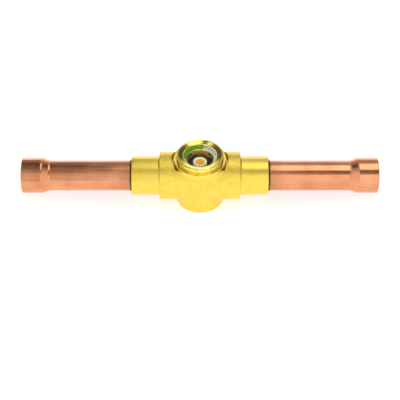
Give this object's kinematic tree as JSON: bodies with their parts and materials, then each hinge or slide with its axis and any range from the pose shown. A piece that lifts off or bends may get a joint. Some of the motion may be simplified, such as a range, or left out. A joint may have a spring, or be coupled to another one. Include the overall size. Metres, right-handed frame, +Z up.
{
  "type": "moisture indicating sight glass",
  "caption": "Brass in-line sight glass with copper solder tubes, a screwed round window holder, a colour label cone and a moisture indicator under the glass.",
  "frame": {"origin": "centre of the flat round base of the barrel, under the window", "axes": "+X along the flow line towards the right-hand tube, +Z up through the window"},
  "size_m": [0.1498, 0.022, 0.0244],
  "materials": {
    "forged_brass": "hot forged and tumbled, satin grain",
    "turned_brass": "fine turned and bright",
    "copper_tube": "drawn copper, bright with fine draw lines",
    "braze_alloy": "brazed fillet, slightly dull",
    "seal_white": "white fluoropolymer",
    "gasket_black": "matte black rubber",
    "sleeve_metal": "yellow passivated, fine turned",
    "window_glass": "clear fused glass",
    "spring_steel": "bright steel",
    "label_white": "white printed film",
    "label_green": "green printed film",
    "label_yellow": "yellow printed film",
    "indicator_white": "cream white plastic",
    "indicator_orange": "salt-treated indicator paper, orange"
  },
  "bodies": {
    "body": {"valve_body": "forged_brass", "left_tube": "copper_tube", "right_tube": "copper_tube", "left_braze_fillet": "braze_alloy", "right_braze_fillet": "braze_alloy", "indicator_post": "turned_brass", "spring_seat_washer": "spring_steel", "indicator_spring": "spring_steel", "indicator_cup": "indicator_white", "indicator_paper": "indicator_orange", "paper_retainer": "indicator_white"},
    "seal": {"holder_seal": "seal_white"},
    "window": {"window_holder": "turned_brass", "glass_sleeve": "sleeve_metal", "glass_window": "window_glass", "sleeve_gasket": "gasket_black", "sleeve_circlip": "spring_steel", "label_carrier": "label_white", "label_dry_segment": "label_green", "label_wet_segment": "label_yellow"}
  },
  "joints": [
    {"name": "holder_lift", "type": "slide", "parent": "body", "child": "seal", "axis": [0, 0, 1], "range_m": [0, 0.0036]},
    {"name": "holder_turn", "type": "hinge", "parent": "seal", "child": "window", "pos_m": [0, 0, 0.02045], "axis": [0, 0, 1], "range_deg": [0, 1260]}
  ],
  "couplings": [
    {"joint": "holder_lift", "follows": "holder_turn", "m_per_rad": 0.00015915}
  ]
}
